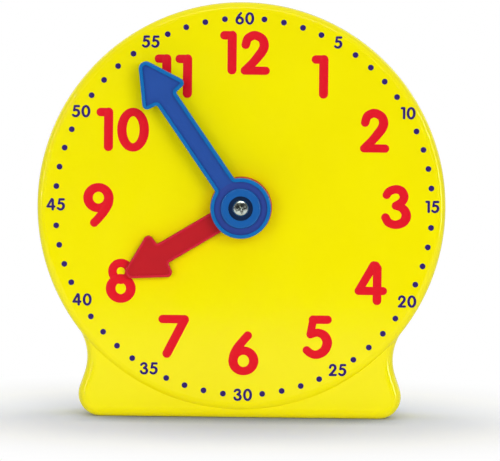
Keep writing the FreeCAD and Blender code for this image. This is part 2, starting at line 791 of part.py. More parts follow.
def make_hour_hand():
    """Hour hand: a plate with a low raised rim, pushed on the hour tube's key."""
    body = new_body("hour_hand")
    plate = new_sketch(body, "Plate", HOUR_HAND_BACK)
    hand_outline(plate, "hour")
    pad(body, plate, "hour_hand_thickness", "front")
    round_edges(body, "hand_edge_radius", at_level(HOUR_HAND_FRONT))
    recess = new_sketch(body, "Recess", HOUR_HAND_FRONT)
    hand_outline(recess, "hour", "hour_rim")
    pocket(body, recess, "hour_recess")
    hub = f"{HOUR_TUBE_RADIUS} + hour_rim"
    pad_circles(body, "HubRing", HOUR_HAND_BACK, "hour_hand_thickness", hub, towards="front")
    bore = new_sketch(body, "Bore", HOUR_HAND_FRONT)
    radius = f"({HOUR_TUBE_RADIUS} + key_gap)"
    flatted_circle(bore, radius, f"{HOUR_TUBE_RADIUS} * (1 + key_flat) / 2 + key_gap")
    pocket(body, bore)
    place(body, turn="-hour_hand_angle")


def make_minute_hand():
    """Minute hand: rimmed plate, central boss with the screw's counterbore, collar behind."""
    body = new_body("minute_hand")
    plate = new_sketch(body, "Plate", MINUTE_HAND_BACK)
    hand_outline(plate, "minute")
    pad(body, plate, "minute_hand_thickness", "front")
    round_edges(body, "hand_edge_radius", at_level(MINUTE_HAND_FRONT))
    recess = new_sketch(body, "Recess", MINUTE_HAND_FRONT)
    hand_outline(recess, "minute", "minute_rim")
    pocket(body, recess, "minute_recess")
    pad_circles(body, "Boss", BOSS_FRONT, f"{BOSS_FRONT} - {MINUTE_HAND_BACK}", "boss_radius")
    round_edges(body, "hand_edge_radius", at_level(BOSS_FRONT))
    pad_circles(body, "Collar", MINUTE_HAND_BACK, "collar_height", "collar_radius")
    cut_circles(body, "Counterbore", BOSS_FRONT, "counterbore_depth", "counterbore_radius")
    cut_circles(body, "ScrewHole", BOSS_FRONT, None, "hand_screw_radius + hole_gap")
    socket = new_sketch(body, "KeySocket", COLLAR_BACK)
    flatted_circle(socket, "arbor_radius", "arbor_radius * key_flat + key_gap")
    pocket(body, socket, "key_depth", "front")
    place(body, turn="-minute_hand_angle")


# ---- Build, check and write -------------------------------------------------------------

make_front_case()
make_rear_cover()
for place_name, (screw_x, screw_y) in SCREW_PLACES.items():
    screw = make_screw(f"case_screw_{place_name}", "screw_head_radius", "screw_head_height",
                       "screw_radius", "screw_length", -1)
    place(screw, screw_x, screw_y)
    bind(screw, "Placement.Base.y",
         f"({BOSS_FRONT} + {CASE_BACK}) / 2 + skirt_depth + screw_seat")
make_minute_arbor()
make_intermediate_gear()
make_intermediate_axle()
make_hour_wheel()
make_friction_washer()
make_hour_hand()
make_minute_hand()
hand_screw = make_screw("hand_screw", "hand_screw_head_radius", "hand_screw_head_height",
                        "hand_screw_radius", "hand_screw_length", 1)
place(hand_screw)
bind(hand_screw, "Placement.Base.y", f"({BOSS_FRONT} + {CASE_BACK}) / 2 - {HAND_SCREW_SEAT}")
doc.recompute()

for item in doc.Objects:
    if "Invalid" in item.State or "Error" in item.State:
        raise RuntimeError(f"{item.Label} failed: {item.State}")

os.makedirs("parts", exist_ok=True)
bodies = [item for item in doc.Objects if item.isDerivedFrom("PartDesign::Body")]
for body in bodies:
    shape = body.Shape
    if shape.isNull() or not shape.isValid() or len(shape.Solids) != 1:
        raise RuntimeError(f"{body.Label} is not one valid solid")
    shape.exportStep(f"parts/{body.Label}.step")
    print(f"{body.Label}: {shape.Volume:.1f} mm3")
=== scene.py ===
import json
import math

import bmesh
import bpy
import numpy as np
from mathutils import Matrix, Vector


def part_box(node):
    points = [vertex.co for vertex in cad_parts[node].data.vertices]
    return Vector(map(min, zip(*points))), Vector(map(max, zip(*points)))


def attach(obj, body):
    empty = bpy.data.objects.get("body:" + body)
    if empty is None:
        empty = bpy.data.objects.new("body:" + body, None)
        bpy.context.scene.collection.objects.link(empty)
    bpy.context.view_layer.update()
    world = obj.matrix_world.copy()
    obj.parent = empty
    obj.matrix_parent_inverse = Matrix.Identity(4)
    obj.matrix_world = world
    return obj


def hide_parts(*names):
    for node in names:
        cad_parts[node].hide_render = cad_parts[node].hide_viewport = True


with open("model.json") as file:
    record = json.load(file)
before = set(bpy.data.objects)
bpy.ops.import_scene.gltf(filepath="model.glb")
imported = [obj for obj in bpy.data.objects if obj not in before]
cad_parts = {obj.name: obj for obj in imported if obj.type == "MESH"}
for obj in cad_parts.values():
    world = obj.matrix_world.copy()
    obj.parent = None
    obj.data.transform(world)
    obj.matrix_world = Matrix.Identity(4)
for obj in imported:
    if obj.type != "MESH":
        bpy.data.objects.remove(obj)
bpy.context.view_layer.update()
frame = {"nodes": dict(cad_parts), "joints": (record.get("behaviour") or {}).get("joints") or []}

# ---------------------------------------------------------------- where the reader stands
# The clock stands on a table and is read from 1.1 m away through a long lens, from a little
# above and to the right of square. Lengths are in metres here, with the dial towards -Y.
DIAL_CENTRE = Vector(frame["joints"][0]["pos_m"])
READER_DISTANCE = 1.1
READER_TURN = math.radians(1.0)
READER_RISE = math.radians(3.5)
READER_TILT = math.radians(0.6)
AIM_RIGHT = 0.00215
AIM_DOWN = 0.00573
SENSOR_WIDTH_MM = 36.0
FOCAL_LENGTH_MM = 323.9
SIGHT_END = 60.0

toward = Vector((
    math.sin(READER_TURN) * math.cos(READER_RISE),
    -math.cos(READER_TURN) * math.cos(READER_RISE),
    math.sin(READER_RISE),
))
level = Vector((math.cos(READER_TURN), math.sin(READER_TURN), 0.0))
upright = toward.cross(level)
right = level * math.cos(READER_TILT) + upright * math.sin(READER_TILT)
up = upright * math.cos(READER_TILT) - level * math.sin(READER_TILT)
aim = DIAL_CENTRE + right * AIM_RIGHT - up * AIM_DOWN
eye = aim + toward * READER_DISTANCE

lens = bpy.data.cameras.new("reader")
lens.sensor_width = SENSOR_WIDTH_MM
lens.lens = FOCAL_LENGTH_MM
lens.clip_end = SIGHT_END
camera = bpy.data.objects.new("reader", lens)
camera.matrix_world = Matrix((
    (right.x, up.x, toward.x, eye.x),
    (right.y, up.y, toward.y, eye.y),
    (right.z, up.z, toward.z, eye.z),
    (0.0, 0.0, 0.0, 1.0),
))
bpy.context.scene.collection.objects.link(camera)
bpy.context.scene.camera = camera
bpy.context.scene.view_settings.view_transform = "Standard"

# ---------------------------------------------------------------- table and light
# A round table of white laminate in a room whose walls are white but for a dim one behind the
# reader. Two diffuse boxes light the dial from either side, one hangs overhead and two stand behind.
# Two strips and a card only draw gloss: on the rims and on the hand screw's head.
TABLE_RADIUS = 0.30
TABLE_INNER_RING = 0.05
TABLE_RINGS = 12
TABLE_SPOKES = 96
TABLE_TINT = "#FBFCFF"
# Painted shade near the foot: a darker, cooler white than the rest of the table.
TABLE_PAINTED_NEAR_SHADE = "#D8DFFF"
# Painted contact shadow in front of the foot:
TABLE_PAINTED_CONTACT_SHADOW = "#9EA6CD"
TABLE_SHADE = "#F2F2F2"
# Where its painted shade and shadow and its fade start and end, from its middle, and how near a cover paints
# shadow.
NEAR_START = 0.020
NEAR_END = 0.075
POOL_START = 0.045
POOL_END = 0.115
FOOT_ENDS_START = 0.026
FOOT_ENDS_END = 0.044
PAINTED_SHADOW_REACH = 0.015
# Strengths of the room's light and walls, and how far towards -Y the dim wall and the far ones lie.
ROOM_LIGHT = 0.33
FAR_WALL = 0.80
DIM_WALL = 0.03
DIM_WALL_EDGE = -0.82
FAR_WALL_EDGE = -0.40
PLAIN_WHITE = (1.0, 1.0, 1.0, 1.0)


def tint(code):
    """Linear colour of an sRGB hex code: c / 12.92 up to 0.04045, else ((c + 0.055) / 1.055) ** 2.4."""
    parts = np.array([int(code[i:i + 2], 16) for i in (1, 3, 5)]) / 255.0
    linear = np.where(parts <= 0.04045, parts / 12.92, ((parts + 0.055) / 1.055) ** 2.4)
    return (*linear.tolist(), 1.0)


def add(tree, kind, inputs=None, **settings):
    """Adds a node. Settings are its properties, inputs its sockets' values or the sockets linked to them."""
    node = tree.nodes.new(kind)
    for name, value in settings.items():
        setattr(node, name, value)
    for name, value in (inputs or {}).items():
        if isinstance(value, bpy.types.NodeSocket):
            tree.links.new(value, node.inputs[name])
        else:
            node.inputs[name].default_value = value
    return node


def empty_tree(owner):
    """The owner's node tree with its first nodes taken out."""
    owner.use_nodes = True
    owner.node_tree.nodes.clear()
    return owner.node_tree


room = bpy.data.worlds.new("white_room")
bpy.context.scene.world = room
tree = empty_tree(room)
rays = add(tree, "ShaderNodeLightPath")
mirror = add(tree, "ShaderNodeMath", {
    0: rays.outputs["Is Glossy Ray"], 1: rays.outputs["Is Transmission Ray"]}, operation="MAXIMUM")
direction = add(tree, "ShaderNodeTexCoord")
axes = add(tree, "ShaderNodeSeparateXYZ", {0: direction.outputs["Generated"]})
wall = add(tree, "ShaderNodeMapRange", {
    "Value": axes.outputs["Y"], "From Min": DIM_WALL_EDGE, "From Max": FAR_WALL_EDGE,
    "To Min": DIM_WALL, "To Max": FAR_WALL}, interpolation_type="SMOOTHSTEP")
glow = add(tree, "ShaderNodeMix", {
    0: mirror.outputs[0], 2: ROOM_LIGHT, 3: wall.outputs["Result"]}, data_type="FLOAT")
white = add(tree, "ShaderNodeMath", {0: glow.outputs[0], 1: rays.outputs["Is Camera Ray"]},
            operation="MAXIMUM")
walls = add(tree, "ShaderNodeBackground", {"Color": PLAIN_WHITE, "Strength": white.outputs[0]})
add(tree, "ShaderNodeOutputWorld", {"Surface": walls.outputs[0]})


def laminate():
    """White melamine laminate, smooth and matt, on which the clock's shadow shows. Near the foot it is
    painted a darker, cooler white, painted shade that takes the yellow out of the light that the clock throws
    on it. In front of the foot a painted contact shadow darkens it where the clock covers it, and past the
    shadow it fades to plain white."""
    material = bpy.data.materials.new("white_laminate")
    tree = empty_tree(material)
    place = add(tree, "ShaderNodeTexCoord")
    reach = add(tree, "ShaderNodeVectorMath", {0: place.outputs["Object"]}, operation="LENGTH")
    fade = add(tree, "ShaderNodeMapRange", {
        "Value": reach.outputs["Value"], "From Min": POOL_START, "From Max": POOL_END},
        interpolation_type="SMOOTHSTEP")
    rays = add(tree, "ShaderNodeLightPath")
    mirror = add(tree, "ShaderNodeMath", {
        0: rays.outputs["Is Glossy Ray"], 1: rays.outputs["Is Transmission Ray"]}, operation="MAXIMUM")
    seen = add(tree, "ShaderNodeMath", {0: mirror.outputs[0], 1: rays.outputs["Is Camera Ray"]},
               operation="MAXIMUM")
    blend = add(tree, "ShaderNodeMath", {0: seen.outputs[0], 1: fade.outputs["Result"]},
                operation="MULTIPLY")
    # Painted shade: near the foot the floor is a darker, cooler white.
    apart = add(tree, "ShaderNodeMapRange", {
        "Value": reach.outputs["Value"], "From Min": NEAR_START, "From Max": NEAR_END})
    painted_near_shade = add(tree, "ShaderNodeMix", {
        0: apart.outputs["Result"], 6: tint(TABLE_PAINTED_NEAR_SHADE), 7: tint(TABLE_TINT)}, data_type="RGBA")
    # Painted contact shadow: where the clock covers the floor within a short reach, it darkens to a
    # blue-grey, but not beside the foot's ends.
    painted_shadow_cover = add(tree, "ShaderNodeAmbientOcclusion", {"Distance": PAINTED_SHADOW_REACH}, samples=8)
    clear = add(tree, "ShaderNodeMapRange", {
        "Value": painted_shadow_cover.outputs["AO"], "From Min": 0.5, "From Max": 1.0})
    axes = add(tree, "ShaderNodeSeparateXYZ", {0: place.outputs["Object"]})
    aside = add(tree, "ShaderNodeMath", {0: axes.outputs["X"]}, operation="ABSOLUTE")
    beside = add(tree, "ShaderNodeMapRange", {
        "Value": aside.outputs[0], "From Min": FOOT_ENDS_START, "From Max": FOOT_ENDS_END},
        interpolation_type="SMOOTHSTEP")
    painted_shadow_free = add(tree, "ShaderNodeMath", {0: clear.outputs["Result"], 1: beside.outputs["Result"]},
                  operation="MAXIMUM")
    with_painted_shadow = add(tree, "ShaderNodeMix", {
        0: painted_shadow_free.outputs[0], 6: tint(TABLE_PAINTED_CONTACT_SHADOW), 7: painted_near_shade.outputs[2]}, data_type="RGBA")
    top = add(tree, "ShaderNodeMix", {
        0: rays.outputs["Is Camera Ray"], 6: tint(TABLE_SHADE), 7: with_painted_shadow.outputs[2]}, data_type="RGBA")
    matt = add(tree, "ShaderNodeBsdfDiffuse", {"Color": top.outputs[2]})
    plain = add(tree, "ShaderNodeEmission", {"Color": PLAIN_WHITE, "Strength": 1.0})
    mix = add(tree, "ShaderNodeMixShader", {0: blend.outputs[0], 1: matt.outputs[0], 2: plain.outputs[0]})
    add(tree, "ShaderNodeOutputMaterial", {"Surface": mix.outputs[0]})
    return material


turns = np.linspace(0, 2 * math.pi, TABLE_SPOKES, endpoint=False)
rings = np.geomspace(TABLE_INNER_RING, TABLE_RADIUS, TABLE_RINGS)
sheet = np.stack([np.outer(rings, np.cos(turns)), np.outer(rings, np.sin(turns)),
                  np.zeros((TABLE_RINGS, TABLE_SPOKES))], -1)
index = np.arange(TABLE_RINGS * TABLE_SPOKES).reshape(TABLE_RINGS, TABLE_SPOKES)
near, far = index[:-1], index[1:]
panes = np.stack([near, far, np.roll(far, -1, 1), np.roll(near, -1, 1)], -1).reshape(-1, 4)
table_mesh = bpy.data.meshes.new("table")
table_mesh.from_pydata(sheet.reshape(-1, 3).tolist(), [], panes.tolist() + [index[0].tolist()])
table_mesh.materials.append(laminate())
table = bpy.data.objects.new("table", table_mesh)
bpy.context.scene.collection.objects.link(table)


def soft_box(name, bearing, height, distance, size, power, matt=True, gloss=True):
    """A lamp aimed at the dial, at a bearing to the right of square and a height above level, in degrees,
    and a distance in metres. Its size is its width and height in metres, its power is in watts. With gloss
    off it draws no highlight, and with matt off it draws nothing else."""
    a, e = math.radians(bearing), math.radians(height)
    ray = Vector((math.sin(a) * math.cos(e), -math.cos(a) * math.cos(e), math.sin(e)))
    lamp = bpy.data.lights.new(name, "AREA")
    lamp.shape = "RECTANGLE"
    lamp.size, lamp.size_y = size
    lamp.energy = power
    box = bpy.data.objects.new(name, lamp)
    turned = ray.to_track_quat("Z", "Y").to_matrix().to_4x4()
    box.matrix_world = Matrix.Translation(DIAL_CENTRE + ray * distance) @ turned
    box.visible_diffuse = matt
    box.visible_glossy = gloss
    bpy.context.scene.collection.objects.link(box)


soft_box("right_soft_box", 20.0, 12.0, 1.6, (0.75, 0.75), 9.4, gloss=False)
soft_box("left_soft_box", -20.0, 8.0, 1.6, (0.75, 0.75), 6.4, gloss=False)
soft_box("top_soft_box", 180.0, 78.0, 1.2, (1.4, 1.4), 7.5, gloss=False)
soft_box("right_rear_box", 132.0, 25.0, 1.4, (0.9, 0.9), 3.2)
soft_box("left_rear_box", -132.0, 25.0, 1.4, (0.9, 0.9), 3.2)
soft_box("right_strip_box", 61.0, 8.0, 1.2, (0.16, 0.70), 5.0, matt=False)
soft_box("left_strip_box", -56.0, 12.0, 1.2, (0.03, 0.70), 3.0, matt=False)
soft_box("front_card", 0.0, 44.0, 0.9, (0.70, 0.24), 1.5, matt=False)

# ---------------------------------------------------------------- case
# Two shells of glossy yellow ABS, injection moulded in a polished tool and screwed together.
# The front one carries the round dial, raised a little over the flared foot.
YELLOW = "#F5EB00"
YELLOW_DEEP = "#F1E300"
SEAM_SHADE = "#8E8200"
FRONT_SHELL_DEPTH = 0.008
SEAM_PLACE = DIAL_CENTRE.y + FRONT_SHELL_DEPTH
SEAM_HALF_WIDTH = 0.0001


def glossy_abs():
    """Yellow ABS from a polished mould: even, saturated, with clear highlights. Flow clouds 14 mm wide change
    its colour a little, the skin ripples over about 1.5 mm like any thick moulding, and hands have rubbed it
    a little dull in places. Where the shells meet there is a hairline, drawn 0.2 mm wide so that it shows."""
    material = bpy.data.materials.new("glossy_yellow_abs")
    tree = empty_tree(material)
    place = add(tree, "ShaderNodeTexCoord")
    clouds = add(tree, "ShaderNodeTexNoise", {
        "Vector": place.outputs["Object"], "Scale": 70.0, "Detail": 2.0, "Roughness": 0.4})
    colour = add(tree, "ShaderNodeMix", {0: clouds.outputs[0], 6: tint(YELLOW_DEEP), 7: tint(YELLOW)},
                 data_type="RGBA")
    axes = add(tree, "ShaderNodeSeparateXYZ", {0: place.outputs["Object"]})
    seam = add(tree, "ShaderNodeMath", {0: axes.outputs["Y"], 1: SEAM_PLACE, 2: SEAM_HALF_WIDTH},
               operation="COMPARE")
    lined = add(tree, "ShaderNodeMix", {0: seam.outputs[0], 6: colour.outputs[2], 7: tint(SEAM_SHADE)},
                data_type="RGBA")
    ripple = add(tree, "ShaderNodeTexNoise", {
        "Vector": place.outputs["Object"], "Scale": 650.0, "Detail": 1.0})
    grit = add(tree, "ShaderNodeTexNoise", {
        "Vector": place.outputs["Object"], "Scale": 5200.0, "Detail": 2.0})
    rubbed = add(tree, "ShaderNodeTexNoise", {
        "Vector": place.outputs["Object"], "Scale": 160.0, "Detail": 6.0})
    dull = add(tree, "ShaderNodeMapRange", {
        "Value": rubbed.outputs[0], "From Min": 0.3, "From Max": 0.8, "To Min": 0.09, "To Max": 0.15})
    skin = add(tree, "ShaderNodeBump", {"Height": ripple.outputs[0], "Strength": 0.16, "Distance": 0.00012})
    fine = add(tree, "ShaderNodeBump", {
        "Height": grit.outputs[0], "Strength": 0.06, "Distance": 0.00003, "Normal": skin.outputs[0]})
    surface = add(tree, "ShaderNodeBsdfPrincipled", {
        "Base Color": lined.outputs[2],
        "Roughness": dull.outputs[0],
        "IOR": 1.52,
        "Specular IOR Level": 0.25,
        "Normal": fine.outputs[0],
    })
    add(tree, "ShaderNodeOutputMaterial", {"Surface": surface.outputs[0]})
    return material


yellow_abs = glossy_abs()
for node in ("front_case", "rear_cover"):
    frame["nodes"][node].material_slots[0].material = yellow_abs

# ---------------------------------------------------------------- printed dial
# Red hour numerals, blue-violet minute numerals and dots, pad printed on the moulded dial
# in a rounded face, all upright. The print sits 0.6 mm to the right of centre.
INK_RED = "#DE0A22"
INK_RED_THIN = "#E31420"
INK_VIOLET = "#2A166C"
INK_VIOLET_THIN = "#33207A"
# How high the ink lies, how far it goes under the dial and how much each next stroke of a figure adds,
# in mm, and at what share of its height and of its width its soft edge starts.
INK_HEIGHT = 0.03
INK_BITE = 0.01
INK_STEP = 0.002
INK_SHOULDER = 0.6
STROKE_TOP = 0.96
DOT_TOP = 0.93
# Points from knot to knot, on an end, on a loop and on a dot, and the angle at which an end starts.
KNOT_POINTS = 6
END_POINTS = 7
LOOP_POINTS = 40
DOT_POINTS = 20
END_START = 0.12
# Sizes and places in mm, and the turn of the dots in degrees.
HOUR_HEIGHT = 10.5
MINUTE_HEIGHT = 3.0
DIGIT_GAP = 1.15
DOT_RADIUS = 0.72
DOT_RING = 46.1
PRINT_SHIFT = (0.59, 0.03)
PRINT_TURN = -0.27
# Each figure's width and its strokes at the hours' size, from its middle. A line's knots are right, up
# and half width. A loop has its middle, its two radii and its half widths at the sides and at the top.
FIGURES = {
    "0": (7.60, [("loop", (0.0, 0.0, 2.74, 4.34, 1.16, 1.04))]),
    "1": (3.94, [("line", [(-1.01, 4.23, 1.05), (0.92, 4.23, 1.05)]),
                 ("line", [(0.92, 4.23, 1.13), (0.92, -4.18, 1.13)])]),
    "2": (6.94, [("line", [(-2.37, 1.98, 1.05), (-2.00, 3.25, 1.07), (-1.39, 3.89, 1.08),
                           (-0.05, 4.29, 1.09), (1.61, 3.47, 1.10), (2.13, 1.96, 1.16),
                           (1.78, 0.64, 1.15), (0.81, -0.71, 1.13), (-0.55, -2.36, 1.05),
                           (-2.51, -4.32, 1.03)]),
                 ("line", [(-2.54, -4.32, 1.02), (2.57, -4.32, 1.02)])]),
    "3": (7.11, [("line", [(-2.41, 2.93, 1.00), (-1.72, 3.81, 1.03), (-0.23, 4.33, 1.05),
                           (1.21, 3.91, 1.08), (1.87, 2.54, 1.10), (1.31, 1.22, 1.04),
                           (-0.16, 0.32, 0.98)]),
                 ("line", [(-0.16, 0.29, 0.98), (1.19, -0.10, 1.05), (2.16, -1.05, 1.13),
                           (2.43, -2.40, 1.20), (1.67, -3.74, 1.13), (-0.16, -4.35, 1.05),
                           (-1.87, -3.81, 1.05), (-2.63, -2.59, 1.05)])]),
    "4": (7.78, [("line", [(-2.96, -1.88, 0.96), (0.68, 4.35, 1.05)]),
                 ("line", [(1.56, -4.30, 1.08), (1.56, 3.64, 1.08)]),
                 ("line", [(1.56, 3.60, 1.08), (1.15, 4.30, 1.05)]),
                 ("line", [(-2.93, -1.92, 1.02), (2.98, -1.92, 1.02)])]),
    "5": (6.92, [("line", [(-1.14, 4.29, 1.04), (2.43, 4.29, 1.04)]),
                 ("line", [(-1.09, 4.24, 0.96), (-1.75, 0.67, 0.96)]),
                 ("line", [(-1.72, 0.62, 0.98), (-0.72, 0.99, 1.00), (0.38, 1.04, 1.02),
                           (1.72, 0.33, 1.13), (2.41, -1.28, 1.20), (1.85, -3.09, 1.15),
                           (0.62, -4.07, 1.10), (-0.65, -4.32, 1.03), (-1.75, -3.92, 1.02),
                           (-2.60, -3.24, 1.00)])]),
    "6": (7.21, [("loop", (0.0, -1.87, 2.54, 2.52, 1.15, 1.03)),
                 ("line", [(1.01, 4.36, 1.05), (-0.21, 2.97, 1.05), (-1.43, 1.36, 1.10),
                           (-2.26, -0.35, 1.15), (-2.56, -1.92, 1.15)])]),
    "7": (7.36, [("line", [(-2.73, 4.23, 1.04), (2.68, 4.23, 1.04)]),
                 ("line", [(2.63, 4.11, 1.11), (-1.60, -4.21, 1.11)])]),
    "8": (7.14, [("loop", (0.0, 2.32, 2.07, 2.07, 1.07, 1.04)),
                 ("loop", (0.0, -1.86, 2.47, 2.47, 1.20, 1.09))]),
    "9": (7.26, [("loop", (0.0, 1.77, 2.54, 2.52, 1.18, 1.08)),
                 ("line", [(2.56, 1.75, 1.18), (2.36, 0.28, 1.15), (1.53, -1.33, 1.10),
                           (0.35, -2.92, 1.05), (-0.97, -4.36, 1.05)])]),
}
# Middles of the numerals, to the right of and above the dial's centre.
HOURS = {
    "1": (18.88, 32.03), "2": (32.42, 19.02), "3": (37.91, 0.44), "4": (31.89, -18.28),
    "5": (19.00, -31.69), "6": (0.92, -35.87), "7": (-16.24, -31.91), "8": (-29.30, -18.43),
    "9": (-34.96, 0.13), "10": (-29.17, 18.63), "11": (-16.91, 31.83), "12": (0.52, 37.69),
}
MINUTES = {
    "60": (0.41, 46.10), "5": (23.26, 40.46), "10": (40.51, 23.39), "15": (46.71, 0.57),
    "20": (40.82, -22.68), "25": (24.01, -39.71), "30": (0.85, -46.09), "35": (-22.25, -39.85),
    "40": (-38.78, -23.10), "45": (-45.42, 0.16), "50": (-39.35, 23.03), "55": (-22.49, 40.19),
}


def lofted(grid, joined=False):
    """Points and faces of a skin over rings of points. Each ring is joined to the next one; the first and
    last are joined to each other as well, or else closed by a flat face."""
    rows, columns = grid.shape[:2]
    index = np.arange(rows * columns).reshape(rows, columns)
    ends = [index[0].tolist(), index[-1].tolist()]
    if joined:
        index = np.vstack([index, index[:1]])
        ends = []
    near, far = index[:-1], index[1:]
    skin = np.stack([near, np.roll(near, -1, 1), np.roll(far, -1, 1), far], -1).reshape(-1, 4)
    return grid.reshape(-1, 3), skin.tolist() + ends


def piece(name, skins, material, body, crease=40.0):
    """One object from several closed skins in mm, with outward faces and with edges sharper than the crease
    kept."""
    starts = np.cumsum([0] + [len(points) for points, _ in skins])
    points = np.vstack([points for points, _ in skins]) / 1000.0
    faces = [[i + start for i in face]
             for start, (_, skin) in zip(starts.tolist(), skins) for face in skin]
    mesh = bpy.data.meshes.new(name)
    mesh.from_pydata(points.tolist(), [], faces)
    shell = bmesh.new()
    shell.from_mesh(mesh)
    bmesh.ops.recalc_face_normals(shell, faces=shell.faces)
    shell.to_mesh(mesh)
    shell.free()
    mesh.shade_smooth()
    mesh.set_sharp_from_angle(angle=math.radians(crease))
    mesh.materials.append(material)
    made = bpy.data.objects.new(name, mesh)
    bpy.context.scene.collection.objects.link(made)
    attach(made, body)
    return made


def on_dial(flat, rise):
    """Points in mm from the dial's centre and a rise out of its face, as points of the model in mm."""
    x, y, z = np.array(DIAL_CENTRE) * 1000.0
    return np.stack([x + flat[..., 0], y - rise, z + flat[..., 1]], -1)


def film(track, width, height, joined):
    """Ink along a track: its profile, a low flat bar with softened edges, is set square to the track at each
    point and is as wide as the stroke there. It starts just under the dial and rises to the ink's height."""
    if joined:
        ahead = np.roll(track, -1, 0) - np.roll(track, 1, 0)
    else:
        ahead = np.gradient(track, axis=0)
    ahead = ahead / np.linalg.norm(ahead, axis=1, keepdims=True)
    side = np.stack([ahead[:, 1], -ahead[:, 0]], -1)
    across = np.array([-1.0, -1.0, -STROKE_TOP, STROKE_TOP, 1.0, 1.0])
    shoulder = INK_SHOULDER * height
    rise = np.array([-INK_BITE, shoulder, height, height, shoulder, -INK_BITE])
    flat = track[:, None, :] + side[:, None, :] * (width[:, None] * across)[:, :, None]
    return lofted(on_dial(flat, np.broadcast_to(rise, flat.shape[:2])), joined)


def line(knots, scale, middle, height):
    """A stroke with round ends. The track is the Catmull-Rom curve through the knots, and so is its half
    width; each end narrows from the half width w as w * sin(t) while it runs on by w * cos(t)."""
    knots = np.array(knots) * scale
    padded = np.vstack([2 * knots[0] - knots[1], knots, 2 * knots[-1] - knots[-2]])
    u = np.linspace(0, len(knots) - 1, KNOT_POINTS * (len(knots) - 1) + 1)
    i = np.minimum(u.astype(int), len(knots) - 2)
    f = (u - i)[:, None]
    a, b, c, d = padded[i], padded[i + 1], padded[i + 2], padded[i + 3]
    curve = 0.5 * (2 * b + (c - a) * f + (2 * a - 5 * b + 4 * c - d) * f ** 2
                   + (3 * b - a - 3 * c + d) * f ** 3)
    track, width = curve[:, :2], curve[:, 2]
    t = np.linspace(END_START, math.pi / 2, END_POINTS + 1)[:-1]
    back = track[0] - track[1]
    on = track[-1] - track[-2]
    back = back / np.linalg.norm(back)
    on = on / np.linalg.norm(on)
    first = track[0] + back * (width[0] * np.cos(t))[:, None]
    last = track[-1] + on * (width[-1] * np.cos(t[::-1]))[:, None]
    track = np.vstack([first, track, last]) + middle
    width = np.concatenate([width[0] * np.sin(t), width, width[-1] * np.sin(t[::-1])])
    return film(track, width, height, False)


def loop(ring, scale, middle, height):
    """A closed stroke along the ellipse (a cos t, b sin t), whose half width goes from the sides' to the
    top's with sin(t) squared."""
    x, y, a, b, side, top = np.array(ring) * scale
    t = np.linspace(0, 2 * math.pi, LOOP_POINTS, endpoint=False)
    track = np.stack([x + a * np.cos(t), y + b * np.sin(t)], -1) + middle
    return film(track, side + (top - side) * np.sin(t) ** 2, height, True)


def numeral(text, middle, size):
    """Skins of one numeral: its figures side by side, a fixed gap apart, centred on the middle. Strokes that
    cross differ in height by 2 micrometres, so that neither hides in the other."""
    scale = size / HOUR_HEIGHT
    widths = [FIGURES[figure][0] * scale for figure in text]
    start = middle[0] - (sum(widths) + DIGIT_GAP * scale * (len(text) - 1)) / 2
    skins = []
    for figure, width in zip(text, widths):
        place = (start + width / 2, middle[1])
        for step, (kind, data) in enumerate(FIGURES[figure][1]):
            make = loop if kind == "loop" else line
            skins.append(make(data, scale, place, INK_HEIGHT + INK_STEP * step))
        start += width + DIGIT_GAP * scale
    return skins


def dot(x, y):
    """A round spot of ink: rings of radius r at the foot and at the shoulder, and one of 0.93 r on top."""
    t = np.linspace(0, 2 * math.pi, DOT_POINTS, endpoint=False)
    radii = np.array([1.0, 1.0, DOT_TOP])[:, None] * DOT_RADIUS
    flat = np.stack([x + radii * np.cos(t), y + radii * np.sin(t)], -1)
    rise = np.array([-INK_BITE, INK_SHOULDER * INK_HEIGHT, INK_HEIGHT])[:, None]
    return lofted(on_dial(flat, np.broadcast_to(rise, flat.shape[:2])))


def pad_ink(name, code, thin):
    """Two-part pad printing ink: opaque and satin on the glossy plastic, with a mottle about 0.6 mm wide
    where the pad left it thinner, and a faint pebble on its skin."""
    material = bpy.data.materials.new(name)
    tree = empty_tree(material)
    place = add(tree, "ShaderNodeTexCoord")
    mottle = add(tree, "ShaderNodeTexNoise", {
        "Vector": place.outputs["Object"], "Scale": 1600.0, "Detail": 3.0})
    thinner = add(tree, "ShaderNodeMapRange", {
        "Value": mottle.outputs[0], "From Min": 0.45, "From Max": 0.85})
    colour = add(tree, "ShaderNodeMix", {0: thinner.outputs[0], 6: tint(code), 7: tint(thin)},
                 data_type="RGBA")
    sheen = add(tree, "ShaderNodeMapRange", {"Value": mottle.outputs[0], "To Min": 0.28, "To Max": 0.48})
    skin = add(tree, "ShaderNodeBump", {"Height": mottle.outputs[0], "Strength": 0.10, "Distance": 0.00002})
    surface = add(tree, "ShaderNodeBsdfPrincipled", {
        "Base Color": colour.outputs[2],
        "Roughness": sheen.outputs[0],
        "IOR": 1.48,
        "Specular IOR Level": 0.15,
        "Normal": skin.outputs[0],
    })
    add(tree, "ShaderNodeOutputMaterial", {"Surface": surface.outputs[0]})
    return material


red_ink = pad_ink("red_pad_ink", INK_RED, INK_RED_THIN)
violet_ink = pad_ink("violet_pad_ink", INK_VIOLET, INK_VIOLET_THIN)
for text, middle in HOURS.items():
    piece(f"hour_numeral_{text}", numeral(text, middle, HOUR_HEIGHT), red_ink, "case")
for text, middle in MINUTES.items():
    piece(f"minute_numeral_{text}", numeral(text, middle, MINUTE_HEIGHT), violet_ink, "case")
marks = [math.radians(6 * minute + PRINT_TURN) for minute in range(60) if minute % 5]
dots = [dot(PRINT_SHIFT[0] + DOT_RING * math.sin(mark), PRINT_SHIFT[1] + DOT_RING * math.cos(mark))
        for mark in marks]
piece("minute_dots", dots, violet_ink, "case")

